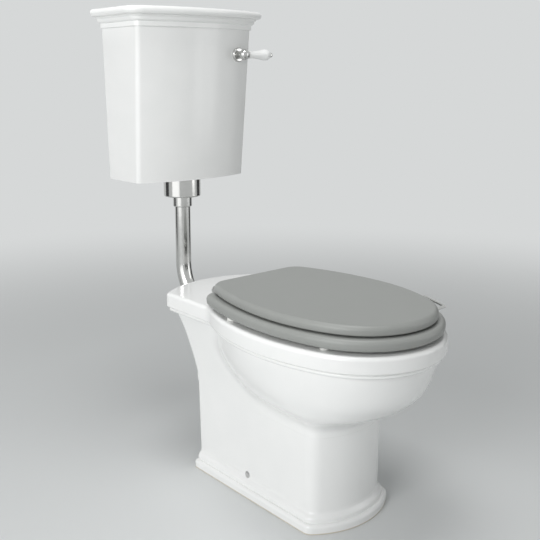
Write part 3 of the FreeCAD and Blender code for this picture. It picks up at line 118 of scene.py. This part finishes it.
# Zinc plated steel: a pale grey metal with a cloudy plating of about 4 mm.
zinc, tree, shader, place = new_finish("zinc_plated_steel")
cloud = add_node(tree, "ShaderNodeTexNoise", {"Vector": place, "Scale": 1 / 0.004, "Detail": 3.0})
grey = add_node(tree, "ShaderNodeMix", {0: cloud.outputs["Fac"], 6: srgb("#a9abab"), 7: srgb("#c4c6c6")},
                data_type="RGBA")
dull = add_node(tree, "ShaderNodeMapRange", {"Value": cloud.outputs["Fac"], "To Min": 0.24, "To Max": 0.40})
tree.links.new(grey.outputs[2], shader.inputs["Base Color"])
tree.links.new(dull.outputs["Result"], shader.inputs["Roughness"])
shader.inputs["Metallic"].default_value = 1.0
dress(zinc, "fixing_studs")

# Chrome plate on polished brass: a mirror with a faint haze in patches of about 12 mm and a soft
# waviness of about 9 mm left by the polishing wheel.
chrome, tree, shader, place = new_finish("chrome_plated_brass")
haze = add_node(tree, "ShaderNodeTexNoise", {"Vector": place, "Scale": 1 / 0.012, "Detail": 2.0})
mirror = add_node(tree, "ShaderNodeMapRange", {"Value": haze.outputs["Fac"], "To Min": 0.12,
                                               "To Max": 0.18})
silver = add_node(tree, "ShaderNodeMix", {0: haze.outputs["Fac"], 6: srgb("#c6c6c4"), 7: srgb("#d1d1cf")},
                  data_type="RGBA")
wheel = add_node(tree, "ShaderNodeTexNoise", {"Vector": place, "Scale": 1 / 0.009, "Detail": 0.0})
wave = add_node(tree, "ShaderNodeBump", {"Height": wheel.outputs["Fac"], "Strength": 0.05,
                                         "Distance": 0.0003})
tree.links.new(silver.outputs[2], shader.inputs["Base Color"])
tree.links.new(mirror.outputs["Result"], shader.inputs["Roughness"])
tree.links.new(wave.outputs["Normal"], shader.inputs["Normal"])
shader.inputs["Metallic"].default_value = 1.0
dress(chrome, "hinge_posts", "hinge_bar")

# The seat ring: shaped from board, sprayed grey, and screwed to two chromed hinge arms. Four soft
# white buffers carry it on the rim, and a bent chromed handle is pressed into its right edge.

# Satin paint on board: grey, with a sprayed skin of about 2 mm and a faint cloud of about 50 mm.
paint, tree, shader, place = new_finish("satin_grey_paint")
spray = add_node(tree, "ShaderNodeTexNoise", {"Vector": place, "Scale": 1 / 0.002, "Detail": 2.0})
cloud = add_node(tree, "ShaderNodeTexNoise", {"Vector": place, "Scale": 1 / 0.050, "Detail": 2.0})
grey = add_node(tree, "ShaderNodeMix", {0: cloud.outputs["Fac"], 6: srgb("#929491"), 7: srgb("#999b98")},
                data_type="RGBA")
peel = add_node(tree, "ShaderNodeBump", {"Height": spray.outputs["Fac"], "Strength": 0.12,
                                         "Distance": 0.0002})
satin = add_node(tree, "ShaderNodeMapRange", {"Value": cloud.outputs["Fac"], "To Min": 0.38,
                                              "To Max": 0.46})
tree.links.new(grey.outputs[2], shader.inputs["Base Color"])
tree.links.new(satin.outputs["Result"], shader.inputs["Roughness"])
tree.links.new(peel.outputs["Normal"], shader.inputs["Normal"])
dress(paint, "seat_ring")
dress(chrome, "seat_hinge_arms", "seat_handle")
dress(zinc, "seat_screws")

# Soft white plastic of the buffers: a little waxy, with a moulded grain of about 1 mm.
buffer_white, tree, shader, place = new_finish("soft_white_plastic")
grain = add_node(tree, "ShaderNodeTexNoise", {"Vector": place, "Scale": 1 / 0.001, "Detail": 1.0})
cream = add_node(tree, "ShaderNodeMix", {0: grain.outputs["Fac"], 6: srgb("#ededea"), 7: srgb("#f4f4f1")},
                 data_type="RGBA")
tree.links.new(cream.outputs[2], shader.inputs["Base Color"])
shader.inputs["Roughness"].default_value = 0.42
dress(buffer_white, "ring_buffers")

# The seat lid: a board of the same paint that turns on the same bar, on its own pair of chromed
# arms, and lies on the ring on four small buffers.
dress(paint, "seat_lid")
dress(chrome, "lid_hinge_arms")
dress(zinc, "lid_screws")
dress(buffer_white, "lid_buffers")

# The flush pipe: a chromed brass tube bent to reach the pan, sealed there by a rubber cone and held
# under the cistern by a nut that squeezes a rubber ring. A chromed cup hides the back nut.
dress(rubber, "flush_cone", "pipe_seal")
dress(chrome, "flush_pipe", "pipe_nut", "pipe_collar")

# The siphon: moulded plastic, clamped through the cistern's floor by its back nut on a rubber ring.
# A plate on a rod inside it lifts the water over the bend when the lever is pressed.

# Moulded polypropylene: milky white, with flow marks of about 15 mm.
milky, tree, shader, place = new_finish("moulded_polypropylene")
flow = add_node(tree, "ShaderNodeTexNoise", {"Vector": place, "Scale": 1 / 0.015, "Detail": 2.0})
white = add_node(tree, "ShaderNodeMix", {0: flow.outputs["Fac"], 6: srgb("#dedcd4"), 7: srgb("#e8e6df")},
                 data_type="RGBA")
worn = add_node(tree, "ShaderNodeMapRange", {"Value": flow.outputs["Fac"], "To Min": 0.30, "To Max": 0.42})
tree.links.new(white.outputs[2], shader.inputs["Base Color"])
tree.links.new(worn.outputs["Result"], shader.inputs["Roughness"])
dress(milky, "siphon_body", "siphon_backnut", "siphon_plate", "lift_rod")
dress(rubber, "siphon_seal")

# The cistern: a slip-cast china tank, glazed as the pan is, with holes for the siphon, the inlet and
# the lever. Two screws through its back hold it up.
dress(china, "cistern")

# The inlet valve: turned brass, clamped through the tank's side on a rubber washer. A float on a
# brass arm rises with the water and pushes the plunger shut.

# Turned brass: yellow metal with tool rings across its length, drawn 1.5 mm apart, which is coarser
# than a lathe leaves them, so that they show. A band of this texture is pi / 10 wide at scale 1.
brass, tree, shader, place = new_finish("turned_brass")
rings = add_node(tree, "ShaderNodeTexWave", {"Vector": place, "Scale": math.pi / 10 / 0.0015,
                                             "Distortion": 0.6}, wave_type="BANDS", bands_direction="X")
yellow = add_node(tree, "ShaderNodeMix", {0: rings.outputs["Fac"], 6: srgb("#b58f48"), 7: srgb("#c8a35c")},
                  data_type="RGBA")
dull = add_node(tree, "ShaderNodeMapRange", {"Value": rings.outputs["Fac"], "To Min": 0.22, "To Max": 0.34})
tree.links.new(yellow.outputs[2], shader.inputs["Base Color"])
tree.links.new(dull.outputs["Result"], shader.inputs["Roughness"])
shader.inputs["Metallic"].default_value = 1.0
dress(brass, "inlet_valve", "inlet_backnut", "valve_plunger", "float_pin", "float_rod")
dress(rubber, "inlet_washer")

# Thread of the inlet tail: a ridge wound on the last 19 mm, at the half inch pipe pitch of 1.814 mm,
# drawn a little high so that it shows. A three-sided ring is wound up along the tail by Screw.
inlet = next(m for m in frame["record"]["mounts"] if m["name"] == "water_inlet")
tail_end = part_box("inlet_valve")[1][0]
tail_radius = inlet["dims"]["r_mm"] / 1000.0
plain_end = 0.0012
thread_pitch = 0.001814
thread_turns = 10
thread_steps = 40
thread_ridge = 0.0007
thread_start = tail_end - plain_end - thread_turns * thread_pitch
bpy.ops.object.select_all(action="DESELECT")
bpy.ops.mesh.primitive_circle_add(vertices=3, radius=thread_ridge, rotation=(math.radians(90.0), 0.0, 0.0),
                                  location=(thread_start, inlet["pos_m"][1], inlet["pos_m"][2]))
thread = bpy.context.object
thread.name = "inlet_thread"
bpy.ops.object.transform_apply(location=False, rotation=True, scale=True)
bpy.ops.object.mode_set(mode="EDIT")
bpy.ops.mesh.select_all(action="SELECT")
bpy.ops.transform.translate(value=(0.0, 0.0, tail_radius + thread_ridge / 4))
bpy.ops.object.mode_set(mode="OBJECT")
wind = thread.modifiers.new("wind", "SCREW")
wind.axis = "X"
wind.screw_offset = thread_pitch
wind.iterations = thread_turns
wind.steps = thread_steps
wind.render_steps = thread_steps
bpy.ops.object.modifier_apply(modifier="wind")
bpy.ops.object.transform_apply(location=True, rotation=True, scale=True)
bpy.ops.object.mode_set(mode="EDIT")
bpy.ops.mesh.select_all(action="SELECT")
bpy.ops.mesh.remove_doubles(threshold=0.00001)
bpy.ops.mesh.fill_holes(sides=3)
bpy.ops.mesh.select_all(action="SELECT")
bpy.ops.mesh.normals_make_consistent(inside=False)
bpy.ops.object.mode_set(mode="OBJECT")
bpy.ops.object.shade_smooth_by_angle(angle=math.radians(35.0))
thread.data.materials.append(brass)
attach(thread, "fixture")

# Blown polythene of the float: orange, soft sheen, with a mottle of about 6 mm.
orange, tree, shader, place = new_finish("blown_orange_polythene")
mottle = add_node(tree, "ShaderNodeTexNoise", {"Vector": place, "Scale": 1 / 0.006, "Detail": 2.0})
hue = add_node(tree, "ShaderNodeMix", {0: mottle.outputs["Fac"], 6: srgb("#c4602c"), 7: srgb("#d06c36")},
               data_type="RGBA")
tree.links.new(hue.outputs[2], shader.inputs["Base Color"])
shader.inputs["Roughness"].default_value = 0.45
dress(orange, "float_ball")

# The flush lever: a chromed sleeve through the tank's front, a spindle with a ball at its end, and a
# turned china handle with a chromed cap. A plastic crank on the spindle lifts the siphon's rod.
dress(chrome, "lever_escutcheon", "lever_hub", "lever_finial")
dress(china, "lever_handle")
dress(milky, "lever_backnut", "lever_crank")

# The cistern lid: slip-cast china with a crown moulding on three sides, glazed as the tank is. It lies
# loose on the tank's edge, and lifts straight off.
dress(china, "cistern_lid")

# The studio: a pale floor that runs out into the surround of the same tone, so that no edge shows,
# a wide soft lamp on the left, one overhead, and two weak ones, a broad low panel on the left and a
# tall strip on the right, which the glaze and the chrome show as bands.
surround = srgb("#d6d8d8")
floor_width = 60.0
floor_drop = 0.0005
fade_start = 0.8
fade_end = 3.2
bpy.ops.object.select_all(action="DESELECT")
bpy.ops.mesh.primitive_plane_add(size=floor_width, location=(0.0, 0.0, -floor_drop))
floor = bpy.context.object
floor.name = "studio_floor"
pale, tree, shader, place = new_finish("pale_floor")
shader.inputs["Base Color"].default_value = surround
shader.inputs["Roughness"].default_value = 0.8
far = add_node(tree, "ShaderNodeVectorMath", {0: place}, operation="LENGTH")
fade = add_node(tree, "ShaderNodeMapRange", {"Value": far.outputs["Value"], "From Min": fade_start,
                                             "From Max": fade_end}, interpolation_type="SMOOTHSTEP")
glow = add_node(tree, "ShaderNodeEmission", {"Color": surround, "Strength": 1.0})
sweep = add_node(tree, "ShaderNodeMixShader", {0: fade.outputs["Result"], 1: shader.outputs["BSDF"],
                                               2: glow.outputs["Emission"]})
tree.links.new(sweep.outputs["Shader"], tree.nodes["Material Output"].inputs["Surface"])
floor.data.materials.append(pale)

# The surround gives weak light all round. The camera, gloss and glass see it at its full tone.
fill_strength = 0.42
world = bpy.data.worlds.new("studio_surround")
bpy.context.scene.world = world
world.use_nodes = True
tree = world.node_tree
rays = add_node(tree, "ShaderNodeLightPath", {})
seen = add_node(tree, "ShaderNodeMath", {0: rays.outputs["Is Camera Ray"],
                                         1: rays.outputs["Is Glossy Ray"]}, operation="MAXIMUM")
seen = add_node(tree, "ShaderNodeMath", {0: seen.outputs[0], 1: rays.outputs["Is Transmission Ray"]},
                operation="MAXIMUM")
strength = add_node(tree, "ShaderNodeMapRange", {"Value": seen.outputs[0], "To Min": fill_strength,
                                                 "To Max": 1.0})
tree.nodes["Background"].inputs["Color"].default_value = surround
tree.links.new(strength.outputs["Result"], tree.nodes["Background"].inputs["Strength"])

# Each lamp's place, what it faces, its size in metres and its power in watts.
for name, spot, aim, width, length, power in (
        ("key_lamp", (-2.95, -0.8, 1.75), (0.0, 0.0, 0.42), 1.5, 1.5, 47.0),
        ("top_lamp", (-0.35, 0.0, 2.9), (0.0, 0.05, 0.4), 1.2, 1.2, 26.0),
        ("left_panel", (-2.6, -0.32, 0.70), (0.0, 0.0, 0.4), 2.4, 1.3, 9.5),
        ("right_strip", (1.74, -1.77, 1.05), (0.0, 0.2, 0.7), 0.9, 1.7, 6.5)):
    bpy.ops.object.light_add(type="AREA", location=spot)
    lamp = bpy.context.object
    lamp.name = name
    lamp.data.shape = "RECTANGLE"
    lamp.data.size = width
    lamp.data.size_y = length
    lamp.data.energy = power
    lamp.visible_camera = False
    away = [s - a for s, a in zip(spot, aim)]
    lamp.rotation_euler = (math.atan2(math.hypot(away[0], away[1]), away[2]), 0.0,
                           math.atan2(away[0], -away[1]))

# Two dark cards beside the set, which only polished surfaces see, give the chrome its dark edges.
# They end below the top of the cistern, so that its lid doesn't show them.
card_width = 1.3
card_height = 1.0
felt, tree, shader, place = new_finish("dark_felt")
shader.inputs["Base Color"].default_value = srgb("#454647")
shader.inputs["Roughness"].default_value = 0.9
for name, spot, turn in (("right_card", (2.1, 0.15, 0.5), 82.0), ("rear_card", (-1.45, 2.2, 0.5), 35.0)):
    bpy.ops.object.select_all(action="DESELECT")
    bpy.ops.mesh.primitive_plane_add(size=1.0, location=spot,
                                     rotation=(math.radians(90.0), 0.0, math.radians(turn)))
    card = bpy.context.object
    card.name = name
    card.scale = (card_width, card_height, 1.0)
    card.data.materials.append(felt)
    card.visible_camera = False
    card.visible_diffuse = False
    card.visible_shadow = False

# The camera stands in front and to the left, a little below the top of the cistern. It looks down by
# 12 degrees, and its small shift sets the object in the frame.
camera_place = (-1.12273, -1.19651, 0.89396)
camera_tilt = 78.08
camera_turn = -40.47
bpy.ops.object.camera_add(location=camera_place,
                          rotation=(math.radians(camera_tilt), 0.0, math.radians(camera_turn)))
camera = bpy.context.object
camera.data.sensor_width = 36.0
camera.data.lens = 53.617
camera.data.shift_x = 0.02
camera.data.shift_y = -0.05
bpy.context.scene.camera = camera
bpy.context.scene.view_settings.view_transform = "Standard"
